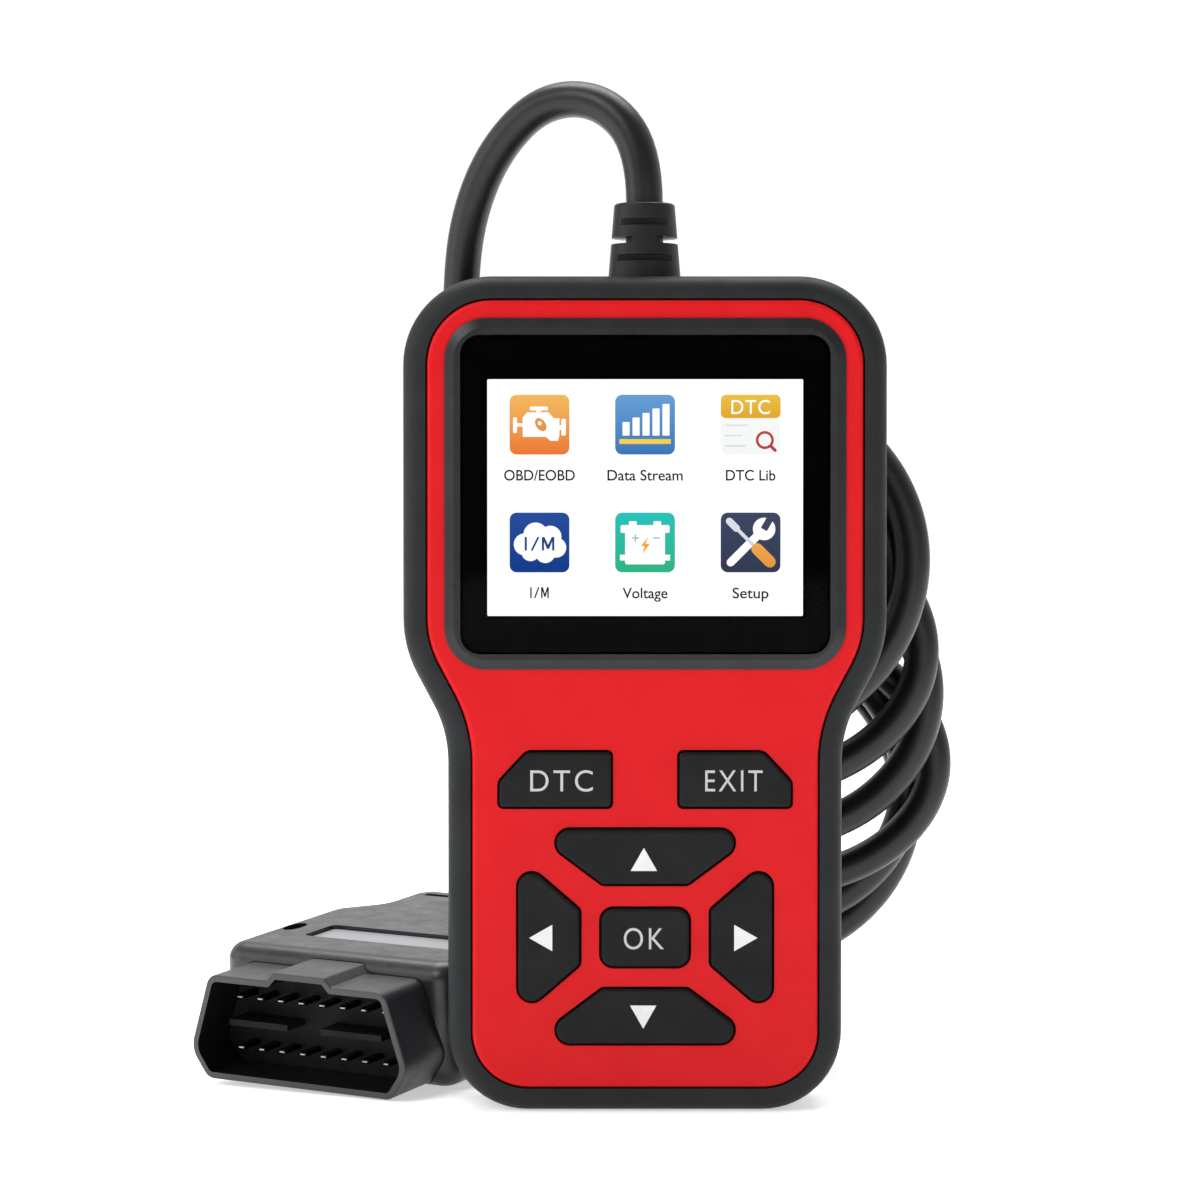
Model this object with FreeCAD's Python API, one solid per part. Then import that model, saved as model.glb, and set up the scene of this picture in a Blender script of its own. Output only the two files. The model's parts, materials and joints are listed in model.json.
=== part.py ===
import FreeCAD, Part
import math
import os

from FreeCAD import Vector

# Hand-held vehicle code reader with its cable and diagnostic plug. Millimetres.
# The case stands upright on its lower edge: +Z up, face towards -Y, origin under the middle of the case.
# Heights below are measured from a datum 0.8 above that edge. Every part is raised by as much at the end.

# ---- case outline -----------------------------------------------------------------------------
CASE_FOOT = -0.8
CASE_HEIGHT = 129.1
HEAD_HALF = 37.65
HANDLE_HALF = 30.7
TOP_RADIUS = 13.8
BOTTOM_RADIUS = 12.4
WAIST_TOP = 76.0
WAIST_BOTTOM = 53.5
WAIST_ANGLE = math.radians(28)

# insets from the outer outline
BUMPER_INNER = 3.6
BUMPER_GROOVE = 1.5
RIDGE_INSET = 1.65
COVER_INSET = 3.85
WALL = 2.0
CAVITY_INSET = COVER_INSET + WALL
BOARD_INSET = CAVITY_INSET + 1.0

# ---- depths, front to back --------------------------------------------------------------------
BEZEL_FRONT = -10.9
KEY_FRONT = -10.5
FACE = -9.8
LENS_FRONT = -10.3
LENS_BACK = -8.8
MASK_BACK = -8.7
COVER_INSIDE = FACE + WALL
BOARD_FRONT = -2.6
BOARD_BACK = -1.0
JOINT = 0.0
REAR_FACE = 10.6
REAR_INSIDE = REAR_FACE - WALL
BUMPER_HALF_DEPTH = 9.5
RIDGE_HALF_DEPTH = 6.0
BUMPER_EDGE = 3.0

# ---- screen -----------------------------------------------------------------------------------
BEZEL = dict(half=31.1, low=68.0, high=122.4, radius=6.5)
GLASS = dict(half=28.65, low=70.4, high=119.8, radius=3.1)
ACTIVE = dict(half=24.48, low=76.3, high=113.0, radius=0.2)
WINDOW = dict(half=26.0, low=74.8, high=114.5, radius=1.0)
PANEL = dict(half=27.9, low=73.9, high=115.4, radius=0.4)
FRAME = dict(half=29.2, low=73.0, high=116.3, radius=1.0)
GLASS_GAP = 0.1
BEZEL_SKIRT = 0.5
BEZEL_RIM = 0.3
BEZEL_SLOPE = 1.5
BEZEL_EDGE = 0.3
MASK_GAP = 0.02

# ---- keys -------------------------------------------------------------------------------------
KEY_TRAVEL = 0.6
KEY_GAP = 0.35
KEY_EDGE = 0.55
KEY_FLANGE = 0.6
MAT_FRONT = -7.6
MAT_BACK = -6.8
FLANGE_FRONT = -6.5
FLANGE_BACK = -5.6
STEM_RADIUS = 1.8
DOME_HEIGHT = 0.6
DOME_RADIUS = 4.0
PAD_CENTRE = 26.45

# ---- screws -----------------------------------------------------------------------------------
CASE_SCREWS = [(x * s, z) for x, z in ((22.0, 120.5), (24.5, 63.5), (20.0, 10.0)) for s in (-1, 1)]
BOARD_SCREWS = [(x * s, z) for x, z in ((12.5, 119.2), (14.0, 60.5)) for s in (-1, 1)]
BOSS_RADIUS = 2.3
POST_RADIUS = 3.4
PILOT_RADIUS = 1.25
SHANK_RADIUS = 1.2
PILOT_TIP = -6.6
SHANK_TIP = -6.0
CASE_HEAD_SEAT = 4.0
STANDOFF_RADIUS = 1.9
BOARD_PILOT_RADIUS = 0.85
BOARD_SHANK_RADIUS = 0.8

# ---- rear face --------------------------------------------------------------------------------
LABEL = [(-23.0, 73.0, 2.0), (23.0, 73.0, 2.0), (23.0, 107.0, 2.0), (-23.0, 107.0, 2.0)]
LABEL_DEPTH = 0.4
GRIP_GROOVES = 7
GRIP_LOW = 22.0
GRIP_PITCH = 4.2
GRIP_WIDTH = 1.6
GRIP_HALF = 17.0
GRIP_DEPTH = 0.6

# ---- board ------------------------------------------------------------------------------------
# name: (x, z, width, height, thickness) of each chip
CHIPS = {
    "processor_chip": [(0.0, 84.0, 12.0, 12.0, 1.5)],
    "transceiver_chips": [(-19.0, 80.0, 4.0, 5.0, 1.5), (-19.0, 90.0, 4.0, 5.0, 1.5)],
    "memory_chip": [(17.0, 84.0, 5.4, 5.4, 1.8)],
    "regulator": [(16.8, 66.0, 3.6, 6.6, 1.7)],
}
LEG_PITCH = 1.27
LEG_REACH = 1.0
LEG_LIFT = 0.1
LEG_WIDTH = 0.4
CRYSTAL_BACK = 2.4
CAPACITOR_RADIUS = 3.15
CAPACITOR_BACK = 4.4
BUZZER_HEIGHT = 40.0
BUZZER_RADIUS = 5.0
BUZZER_BACK = 3.2
HEADER = dict(left=-17.0, right=-3.0, low=103.0, high=108.2, back=4.6)
HEADER_WALL = 1.0
HEADER_FLOOR = 1.2

# ---- cable ------------------------------------------------------------------------------------
CABLE_RADIUS = 2.9
INNER_RADIUS = 1.6
INNER_ROUTE = [
    (0.0, 0.0, 121.7),
    (0.0, 0.0, 118.8),
    (-2.6, 1.2, 116.9),
    (-7.2, 1.7, 115.9),
    (-10.0, 1.8, 113.0),
    (-10.0, 1.8, 109.9),
]
RELIEF_TOP = 140.9
RELIEF_BASE_RADIUS = 5.7
RELIEF_TOP_RADIUS = 4.75
RELIEF_CORE = 3.35
RELIEF_SLOT = 1.0
FLANGE_RADIUS = 6.9
FLANGE_THICK = 1.5
ARCH_ROUTE = [
    (0.0, 0.0, 140.9),
    (0.0, 0.0, 149.8),
    (-6.7, 3.4, 157.9),
    (-16.2, 8.0, 158.2),
    (-23.9, 12.4, 150.8),
    (-28.4, 15.8, 140.4),
    (-29.8, 18.6, 128.5),
    (-29.4, 20.2, 115.0),
    (-25.5, 21.6, 101.5),
    (-17.5, 23.2, 87.5),
    (-8.5, 24.1, 74.6),
]
TAIL_ROUTE = [
    (-8.2, 47.5, 43.5),
    (-8.4, 53.5, 35.5),
    (-3.6, 57.6, 25.0),
    (2.6, 59.6, 14.5),
    (10.0, 61.6, 6.8),
    (21.4, 64.6, 2.15),
    (30.2, 72.6, 2.15),
    (33.8, 84.0, 2.15),
    (31.4, 95.8, 2.15),
    (23.0, 104.4, 2.15),
    (11.6, 108.0, 5.0),
    (-0.2, 105.4, 9.6),
]
ARC_SHARE = 0.45
COIL_FIRST = Vector(16.8, 20.6, 84.5)
COIL_LAST = Vector(18.6, 52.6, 41.2)
COIL_HALF_WIDTH = 30.5
COIL_HALF_HEIGHT = 28.0
COIL_BAND = 8.0

# ---- diagnostic plug, in its own axes: X across, Y from the mouth into the body, Z up ----------
PLUG_MOUTH = Vector(-55.6, 9.2, -1.0)
PLUG_YAW = 29.0
PLUG_PITCH = 5.0
PLUG_ROLL = 1.5
SHROUD_FLOOR = 0.7
SHROUD_HEIGHT = 17.3
SHROUD_TOP = SHROUD_FLOOR + SHROUD_HEIGHT
SHROUD_WALL = 1.1
SHROUD_LENGTH = 11.2
FLANGE_HALF = 19.4
FLANGE_LOW = 2.1
FLANGE_HIGH = 18.4
TAB_RISE = 1.4
TAB_MIDDLE = 0.6
TAB_HALF = 4.9
TAB_FOOT_HALF = 6.3
PIN_PITCH = 4.0
PIN_ROW = 4.2
PIN_RECESS = 4.5
RIB_RECESS = 4.0
RIB_HALF_THICK = 0.5
PIN_WIDTH = 1.3
PIN_THICK = 0.7
PIN_MIDDLE = SHROUD_FLOOR + 8.7
BODY_HALF = 22.5
BODY_HEIGHT = 20.6
BODY_SHOULDER = 45.0
NECK_HALF = 17.0
NECK_START = 52.0
BODY_END = 66.0
BODY_WALL = 1.8
BODY_EDGE = 3.1
BODY_MIDDLE = BODY_HEIGHT / 2
PLUG_LABEL = [(-13.0, 22.0, 1.2), (17.0, 22.0, 1.2), (17.0, 31.4, 1.2), (-13.0, 31.4, 1.2)]
PLUG_LABEL_DEPTH = 0.9
PLUG_LABEL_THICK = 0.25
PLUG_SLOT = [(-12.6, 59.6, 0.5), (-3.0, 59.6, 0.5), (-3.0, 61.2, 0.5), (-12.6, 61.2, 0.5)]
WINDOW_HOLE = dict(across=18.3, along=27.5, half_across=1.5, half_along=3.0)
PLUG_SCREWS = [(-16.0, 36.5), (16.0, 36.5)]
PLUG_HEAD_SEAT = 5.0
BOOT_END = 84.0
BOOT_BASE_RADIUS = 5.6
BOOT_END_RADIUS = 4.4
BOOT_CORE = 3.9


# ---- general shapes ---------------------------------------------------------------------------
def box(x0, x1, y0, y1, z0, z1):
    return Part.makeBox(x1 - x0, y1 - y0, z1 - z0, Vector(x0, y0, z0))


def rod_y(x, z, radius, y0, y1):
    return Part.makeCylinder(radius, y1 - y0, Vector(x, y0, z), Vector(0, 1, 0))


def rod_z(x, y, radius, z0, z1):
    return Part.makeCylinder(radius, z1 - z0, Vector(x, y, z0), Vector(0, 0, 1))


def cone_z(r0, r1, z0, z1):
    return Part.makeCone(r0, r1, z1 - z0, Vector(0, 0, z0), Vector(0, 0, 1))


def joined(shapes):
    whole = shapes[0].fuse(shapes[1:])
    return whole.removeSplitter()


def rounded_wire(corners, to_3d):
    """Closed outline of straight edges and corner arcs. A corner is (u, v, radius)."""
    flat = [Vector(u, v, 0) for u, v, r in corners]
    edges = []
    ends = []
    for i, (u, v, radius) in enumerate(corners):
        here = flat[i]
        before = (flat[i - 1] - here).normalize()
        after = (flat[(i + 1) % len(flat)] - here).normalize()
        half = before.getAngle(after) / 2
        back = radius / math.tan(half)
        middle = (before + after).normalize()
        nearest = here + middle * (radius / math.sin(half) - radius)
        ends.append((here + before * back, nearest, here + after * back))
    for i, (start, nearest, end) in enumerate(ends):
        edges.append(Part.Arc(to_3d(start), to_3d(nearest), to_3d(end)).toShape())
        following = ends[(i + 1) % len(ends)][0]
        if (following - end).Length > 1e-6:
            edges.append(Part.LineSegment(to_3d(end), to_3d(following)).toShape())
    return Part.Wire(edges)


def plate(corners, y0, y1):
    """Rounded outline in X and Z, standing from depth y0 to depth y1."""
    wire = rounded_wire(corners, lambda p: Vector(p.x, y0, p.y))
    return Part.Face(wire).extrude(Vector(0, y1 - y0, 0))


def slab(corners, z0, z1):
    """Rounded outline in X and Y, standing from height z0 to height z1."""
    wire = rounded_wire(corners, lambda p: Vector(p.x, p.y, z0))
    return Part.Face(wire).extrude(Vector(0, 0, z1 - z0))


def grown(corners, by):
    """The same straight-sided outline moved outwards by a distance, with its corner arcs to match."""
    result = []
    count = len(corners)
    for i, (u, v, radius) in enumerate(corners):
        here = Vector(u, v, 0)
        before = (here - Vector(*corners[i - 1][:2], 0)).normalize()
        after = (Vector(*corners[(i + 1) % count][:2], 0) - here).normalize()
        normal_before = Vector(before.y, -before.x, 0)
        normal_after = Vector(after.y, -after.x, 0)
        bisector = (normal_before + normal_after).normalize()
        reach = by / bisector.dot(normal_before)
        moved = here + bisector * reach
        result.append((moved.x, moved.y, max(radius + by, 0.15)))
    return result


def screen_corners(area, by=0.0):
    half = area["half"] + by
    low = area["low"] - by
    high = area["high"] + by
    radius = max(area["radius"] + by, 0.1)
    return [(-half, low, radius), (half, low, radius), (half, high, radius), (-half, high, radius)]


def edges_at_depth(shape, depth):
    flat = [e for e in shape.Edges if e.BoundBox.YLength < 1e-4]
    return [e for e in flat if abs(e.BoundBox.YMin - depth) < 1e-4]


# ---- case -------------------------------------------------------------------------------------
def case_face(inset, depth):
    """The reader's outline, inset evenly: wide head, S-shaped waist and narrower handle."""
    sine, cosine = math.sin(WAIST_ANGLE), math.cos(WAIST_ANGLE)
    rise = WAIST_TOP - WAIST_BOTTOM
    step = HEAD_HALF - HANDLE_HALF
    waist = (rise * sine - step * cosine) / (2 * (1 - cosine))
    head, handle = HEAD_HALF - inset, HANDLE_HALF - inset
    top, bottom = CASE_HEIGHT - inset, CASE_FOOT + inset
    shoulder, foot = TOP_RADIUS - inset, BOTTOM_RADIUS - inset

    def arc(centre_x, centre_z, radius, first, last):
        points = []
        for degrees in (first, (first + last) / 2, last):
            angle = math.radians(degrees)
            points.append((centre_x + radius * math.cos(angle), centre_z + radius * math.sin(angle)))
        return points

    tilt = math.degrees(WAIST_ANGLE)
    right = [
        arc(handle - foot, bottom + foot, foot, -90, 0),
        arc(HANDLE_HALF + waist, WAIST_BOTTOM, waist + inset, 180, 180 - tilt),
        arc(HEAD_HALF - waist, WAIST_TOP, waist - inset, -tilt, 0),
        arc(head - shoulder, top - shoulder, shoulder, 0, 90),
    ]
    left = [[(-x, z) for x, z in reversed(points)] for points in reversed(right)]
    arcs = right + left
    edges = []
    for i, points in enumerate(arcs):
        edges.append(Part.Arc(*[Vector(x, depth, z) for x, z in points]).toShape())
        x0, z0 = points[2]
        x1, z1 = arcs[(i + 1) % len(arcs)][0]
        edges.append(Part.LineSegment(Vector(x0, depth, z0), Vector(x1, depth, z1)).toShape())
    return Part.Face(Part.Wire(edges))


def case_block(inset, y0, y1):
    return case_face(inset, y0).extrude(Vector(0, y1 - y0, 0))


def relief_hole():
    return rod_z(0, 0, RELIEF_BASE_RADIUS + 0.1, CASE_HEIGHT - 8, CASE_HEIGHT + 6)


def relief_seat():
    """Pocket inside the covers for the strain relief's flange."""
    top = CASE_HEIGHT - CAVITY_INSET
    return rod_z(0, 0, FLANGE_RADIUS + 0.2, top - FLANGE_THICK - 0.2, top + 0.1)


def bumper():
    block = case_block(0.0, -BUMPER_HALF_DEPTH, BUMPER_HALF_DEPTH)
    rims = edges_at_depth(block, -BUMPER_HALF_DEPTH) + edges_at_depth(block, BUMPER_HALF_DEPTH)
    block = block.makeFillet(BUMPER_EDGE, rims)
    ring = block.cut(case_block(BUMPER_INNER, -12, 12))
    groove = RIDGE_HALF_DEPTH + 0.15
    ring = ring.cut(case_block(BUMPER_GROOVE, -groove, groove))
    return ring.cut(relief_hole())


def front_cover():
    block = case_block(COVER_INSET, FACE, JOINT)
    block = block.makeFillet(0.7, edges_at_depth(block, FACE))
    ridge = case_block(RIDGE_INSET, -RIDGE_HALF_DEPTH, JOINT)
    block = joined([block, ridge])
    block = block.cut(case_block(CAVITY_INSET, COVER_INSIDE, JOINT + 1))
    bosses = [rod_y(x, z, BOSS_RADIUS, COVER_INSIDE - 0.5, JOINT - 0.2) for x, z in CASE_SCREWS]
    standoffs = [rod_y(x, z, STANDOFF_RADIUS, COVER_INSIDE - 0.5, BOARD_FRONT) for x, z in BOARD_SCREWS]
    block = joined([block] + bosses + standoffs)
    holes = [rod_y(x, z, PILOT_RADIUS, PILOT_TIP, JOINT + 1) for x, z in CASE_SCREWS]
    holes += [rod_y(x, z, BOARD_PILOT_RADIUS, PILOT_TIP, JOINT) for x, z in BOARD_SCREWS]
    holes.append(plate(screen_corners(GLASS, BEZEL_SKIRT + GLASS_GAP), FACE - 1, MASK_BACK))
    holes.append(plate(screen_corners(WINDOW), FACE - 1, COVER_INSIDE + 1))
    for corners in KEYS.values():
        holes.append(plate(grown(corners, KEY_GAP), FACE - 1, COVER_INSIDE + 1))
    holes.append(relief_hole())
    holes.append(relief_seat())
    return block.cut(holes)


def rear_cover():
    block = case_block(COVER_INSET, JOINT, REAR_FACE)
    block = block.makeFillet(1.6, edges_at_depth(block, REAR_FACE))
    ridge = case_block(RIDGE_INSET, JOINT, RIDGE_HALF_DEPTH)
    block = joined([block, ridge])
    block = block.cut(case_block(CAVITY_INSET, JOINT - 1, REAR_INSIDE))
    posts = [rod_y(x, z, POST_RADIUS, JOINT, REAR_INSIDE + 0.5) for x, z in CASE_SCREWS]
    posts = [post.common(case_block(COVER_INSET + 0.5, -1, 12)) for post in posts]
    block = joined([block] + posts)
    holes = [rod_y(x, z, 2.4, CASE_HEAD_SEAT, REAR_FACE + 1) for x, z in CASE_SCREWS]
    holes += [rod_y(x, z, 1.35, JOINT - 1, CASE_HEAD_SEAT + 1) for x, z in CASE_SCREWS]
    holes.append(plate(LABEL, REAR_FACE - LABEL_DEPTH, REAR_FACE + 1))
    for level in range(GRIP_GROOVES):
        z = GRIP_LOW + level * GRIP_PITCH
        groove = bar(-GRIP_HALF, GRIP_HALF, z, z + GRIP_WIDTH)
        holes.append(plate(groove, REAR_FACE - GRIP_DEPTH, REAR_FACE + 1))
    holes.append(relief_hole())
    holes.append(relief_seat())
    return block.cut(holes)


def bar(x0, x1, z0, z1):
    """Long slot outline with almost round ends."""
    radius = (z1 - z0) / 2 - 0.01
    return [(x0, z0, radius), (x1, z0, radius), (x1, z1, radius), (x0, z1, radius)]


def rear_label():
    return plate(grown(LABEL, -0.3), REAR_FACE - LABEL_DEPTH, REAR_FACE - 0.1)


def screw(x, z, seat, head_radius, head_height, shank_radius, tip):
    """Pan-head screw along -Y with a cross recess. seat is the depth of the face under the head."""
    head = rod_y(x, z, head_radius, seat, seat + head_height)
    head = head.makeFillet(head_height * 0.4, edges_at_depth(head, seat + head_height))
    whole = joined([head, rod_y(x, z, shank_radius, tip, seat)])
    arm = head_radius * 0.62
    slot = head_radius * 0.16
    top = seat + head_height + 0.1
    cross = box(x - arm, x + arm, top - 0.9, top, z - slot, z + slot)
    cross = cross.fuse(box(x - slot, x + slot, top - 0.9, top, z - arm, z + arm))
    return whole.cut(cross)


def case_screws():
    screws = [screw(x, z, CASE_HEAD_SEAT, 2.2, 1.7, SHANK_RADIUS, SHANK_TIP) for x, z in CASE_SCREWS]
    return Part.makeCompound(screws)


def board_screws():
    screws = [screw(x, z, BOARD_BACK, 1.8, 1.3, BOARD_SHANK_RADIUS, SHANK_TIP) for x, z in BOARD_SCREWS]
    return Part.makeCompound(screws)


# ---- screen -----------------------------------------------------------------------------------
def screen_bezel():
    """Raised frame round the glass: low at its outer rim, highest next to the glass, skirt in the pocket."""
    rim = FACE - BEZEL_RIM
    foot = rounded_wire(screen_corners(BEZEL), lambda p: Vector(p.x, rim, p.y))
    crest = rounded_wire(screen_corners(BEZEL, -BEZEL_SLOPE), lambda p: Vector(p.x, BEZEL_FRONT, p.y))
    slope = Part.makeLoft([foot, crest], True, True)
    block = joined([slope, plate(screen_corners(BEZEL), rim, FACE)])
    block = block.makeFillet(BEZEL_EDGE, edges_at_depth(block, BEZEL_FRONT))
    block = joined([block, plate(screen_corners(GLASS, BEZEL_SKIRT), FACE, MASK_BACK)])
    return block.cut(plate(screen_corners(GLASS), BEZEL_FRONT - 1, MASK_BACK + 1))


def screen_lens():
    block = plate(screen_corners(GLASS, -GLASS_GAP), LENS_FRONT, LENS_BACK)
    return block.makeChamfer(0.2, edges_at_depth(block, LENS_FRONT))


def lens_mask():
    """Printed black border behind the glass."""
    sheet = plate(screen_corners(GLASS, -MASK_GAP), LENS_BACK, MASK_BACK)
    return sheet.cut(plate(screen_corners(ACTIVE), LENS_BACK - 1, MASK_BACK + 1))


def lcd_panel():
    return plate(screen_corners(PANEL), COVER_INSIDE + 0.1, -5.9)


def backlight():
    return plate(screen_corners(PANEL, -0.3), -5.85, -5.25)


def lcd_frame():
    tray = plate(screen_corners(FRAME), COVER_INSIDE + 0.1, -4.4)
    tray = tray.cut(plate(screen_corners(PANEL, 0.1), -9, -5.2))
    return tray.cut(box(-8.5, 8.5, -6.9, -5.9, FRAME["low"] - 1, PANEL["low"] + 0.5))


def lcd_ribbon():
    """Flat ribbon from the panel's lower edge, back to the connector on the board."""
    middle = [(-6.4, 73.75), (-6.4, 70.5), (-3.4, 67.2), (-3.4, 63.4)]
    half = 0.1
    front = [Vector(-8, y - half, z) for y, z in middle]
    back = [Vector(-8, y + half, z) for y, z in reversed(middle)]
    wire = Part.makePolygon(front + back + front[:1])
    return Part.Face(wire).extrude(Vector(16, 0, 0))


def ribbon_connector():
    block = box(-9, 9, -4.3, BOARD_FRONT, 62.6, 66.2)
    return block.cut(box(-8.2, 8.2, -3.6, -3.2, 63.3, 67))


# ---- keys -------------------------------------------------------------------------------------
def mirrored(corners, axis_u=None, axis_v=None):
    """Outline mirrored about u = axis_u or v = axis_v, kept in the same turning direction."""
    turned = []
    for u, v, radius in reversed(corners):
        new_u = u if axis_u is None else 2 * axis_u - u
        new_v = v if axis_v is None else 2 * axis_v - v
        turned.append((new_u, new_v, radius))
    return turned


EXIT_KEY = [(5.3, 46.7, 0.6), (22.6, 46.7, 0.6), (22.6, 50.6, 1.6), (18.3, 55.2, 1.6), (5.3, 55.2, 0.6)]
UP_KEY = [(-6.6, 34.7, 1.2), (6.6, 34.7, 1.2), (18.0, 43.2, 2.1), (-18.0, 43.2, 2.1)]
RIGHT_KEY = [(10.2, 22.2, 1.0), (19.7, 14.0, 2.1), (19.7, 38.9, 2.1), (10.2, 30.7, 1.0)]
OK_KEY = [(-6.8, 21.9, 1.9), (6.8, 21.9, 1.9), (6.8, 30.9, 1.9), (-6.8, 30.9, 1.9)]
DOWN_KEY = mirrored(UP_KEY, axis_v=PAD_CENTRE + 0.1)
KEYS = {
    "key_dtc": mirrored(EXIT_KEY, axis_u=0.0),
    "key_exit": EXIT_KEY,
    "key_up": UP_KEY,
    "key_down": DOWN_KEY,
    "key_left": mirrored(RIGHT_KEY, axis_u=0.0),
    "key_right": RIGHT_KEY,
    "key_ok": OK_KEY,
}
KEY_SPOTS = {
    "key_dtc": (-13.6, 50.8),
    "key_exit": (13.6, 50.8),
    "key_up": (0.0, 38.6),
    "key_down": (0.0, 14.4),
    "key_left": (-15.8, 26.45),
    "key_right": (15.8, 26.45),
    "key_ok": (0.0, 26.4),
}


def key(name):
    """Key cap with a softened front edge, a flange that keeps it in, and a stem over its dome."""
    corners = KEYS[name]
    cap = plate(corners, KEY_FRONT, FLANGE_FRONT)
    cap = cap.makeFillet(KEY_EDGE, edges_at_depth(cap, KEY_FRONT))
    flange = plate(grown(corners, KEY_FLANGE), FLANGE_FRONT, FLANGE_BACK)
    x, z = KEY_SPOTS[name]
    dome_top = BOARD_FRONT - DOME_HEIGHT
    stem = rod_y(x, z, STEM_RADIUS, FLANGE_BACK - 0.2, dome_top - KEY_TRAVEL - 0.1)
    return joined([cap, flange, stem])


def keypad_mat():
    """Silicone sheet behind the face, with a skirt down to the board."""
    outline = [(-24.25, 6.6, 6.0), (24.25, 6.6, 6.0), (24.25, 57.4, 1.5), (-24.25, 57.4, 1.5)]
    sheet = plate(outline, MAT_FRONT, BOARD_FRONT)
    sheet = sheet.cut(plate(grown(outline, -0.8), MAT_BACK, BOARD_FRONT + 1))
    holes = [plate(grown(corners, 0.3), MAT_FRONT - 1, MAT_BACK + 1) for corners in KEYS.values()]
    holes += [rod_y(x, z, BOSS_RADIUS + 0.4, -9, 0) for x, z in CASE_SCREWS]
    return sheet.cut(holes)


def key_domes():
    """Shallow metal snap domes, one on the board under each stem."""
    domes = []
    ball = (DOME_RADIUS ** 2 + DOME_HEIGHT ** 2) / (2 * DOME_HEIGHT)
    for x, z in KEY_SPOTS.values():
        sphere = Part.makeSphere(ball, Vector(x, BOARD_FRONT - DOME_HEIGHT + ball, z))
        hollow = Part.makeSphere(ball - 0.2, Vector(x, BOARD_FRONT - DOME_HEIGHT + ball, z))
        cap = sphere.common(box(x - 5, x + 5, -6, BOARD_FRONT, z - 5, z + 5))
        domes.append(cap.cut(hollow))
    return Part.makeCompound(domes)


# ---- boards and components ----------------------------------------------------------------------
def main_board():
    board = case_block(BOARD_INSET, BOARD_FRONT, BOARD_BACK)
    holes = [rod_y(x, z, BOSS_RADIUS + 0.4, -4, 0) for x, z in CASE_SCREWS]
    holes += [rod_y(x, z, 0.95, -4, 0) for x, z in BOARD_SCREWS]
    holes.append(box(-8.0, 8.0, -4, 0, 115.8, 124))
    return board.cut(holes)


def chips(name):
    bodies = []
    for x, z, width, height, thick in CHIPS[name]:
        left, low, back = x - width / 2, z - height / 2, BOARD_BACK + thick
        body = box(left, left + width, BOARD_BACK + LEG_LIFT, back, low, low + height)
        bodies.append(body.makeChamfer(0.25, edges_at_depth(body, back)))
    return Part.makeCompound(bodies)


def chip_legs():
    """Gull-wing legs on two sides of each chip, bent down to the board."""
    legs = []
    for parts in CHIPS.values():
        for x, z, width, height, thick in parts:
            count = int((height - 0.8) / LEG_PITCH) + 1
            for side in (-1, 1):
                edge = x + side * width / 2
                for i in range(count):
                    middle = z + (i - (count - 1) / 2) * LEG_PITCH
                    legs.append(chip_leg(edge, side, middle))
    return Part.makeCompound(legs)


def chip_leg(edge, side, z):
    high = BOARD_BACK + 0.75
    low = BOARD_BACK + 0.2
    profile = [(0, high), (0.45, high), (0.45, low), (LEG_REACH, low)]
    profile += [(LEG_REACH, BOARD_BACK), (0.25, BOARD_BACK), (0.25, high - 0.2), (0, high - 0.2)]
    points = [Vector(edge + side * u, y, z - LEG_WIDTH / 2) for u, y in profile]
    return Part.Face(Part.makePolygon(points + points[:1])).extrude(Vector(0, 0, LEG_WIDTH))


def crystal():
    case = [(-5.4, 94.4, 2.2), (5.4, 94.4, 2.2), (5.4, 99.0, 2.2), (-5.4, 99.0, 2.2)]
    can = plate(case, BOARD_BACK, CRYSTAL_BACK)
    return can.makeFillet(0.5, edges_at_depth(can, CRYSTAL_BACK))


def storage_capacitors():
    cans = []
    for z in (97.0, 106.0):
        can = rod_y(19.0, z, CAPACITOR_RADIUS, BOARD_BACK, CAPACITOR_BACK)
        cans.append(can.makeFillet(0.5, edges_at_depth(can, CAPACITOR_BACK)))
    return Part.makeCompound(cans)


def chip_capacitors():
    parts = []
    for column in range(6):
        for row in range(3):
            x = -12.5 + column * 5.0
            z = 68.0 + row * 3.0 if abs(x) > 8 else 70.0 + row * 2.4
            parts.append(box(x - 0.8, x + 0.8, BOARD_BACK, BOARD_BACK + 0.8, z - 0.4, z + 0.4))
    return Part.makeCompound(parts)


def buzzer():
    body = rod_y(0, BUZZER_HEIGHT, BUZZER_RADIUS, BOARD_BACK, BUZZER_BACK)
    body = body.makeFillet(0.6, edges_at_depth(body, BUZZER_BACK))
    return body.cut(rod_y(0, BUZZER_HEIGHT, 1.0, BUZZER_BACK - 1.2, BUZZER_BACK + 1))


def header_box(inset, low, high):
    """Block in the header's plan, inset on its four sides."""
    left, right = HEADER["left"] + inset, HEADER["right"] - inset
    return box(left, right, BOARD_BACK + inset, HEADER["back"] - inset, low, high)


def cable_header():
    """Open-topped socket on the board, its mouth towards the top of the case."""
    shell = header_box(0, HEADER["low"], HEADER["high"])
    return shell.cut(header_box(HEADER_WALL, HEADER["low"] + HEADER_FLOOR, HEADER["high"] + 1))


def header_pins():
    pins = []
    floor = HEADER["low"] + HEADER_FLOOR
    for i in range(5):
        x = HEADER["left"] + 2.0 + i * 2.5
        pins.append(box(x - 0.3, x + 0.3, 1.5, 2.1, floor, floor + 1.2))
    return Part.makeCompound(pins)


def lead_plug():
    body = header_box(HEADER_WALL + 0.15, HEADER["low"] + 2.6, HEADER["high"] + 3.0)
    x, y, z = INNER_ROUTE[-1]
    return body.cut(rod_z(x, y, INNER_RADIUS + 0.15, z - 0.1, z + 4))


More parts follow.
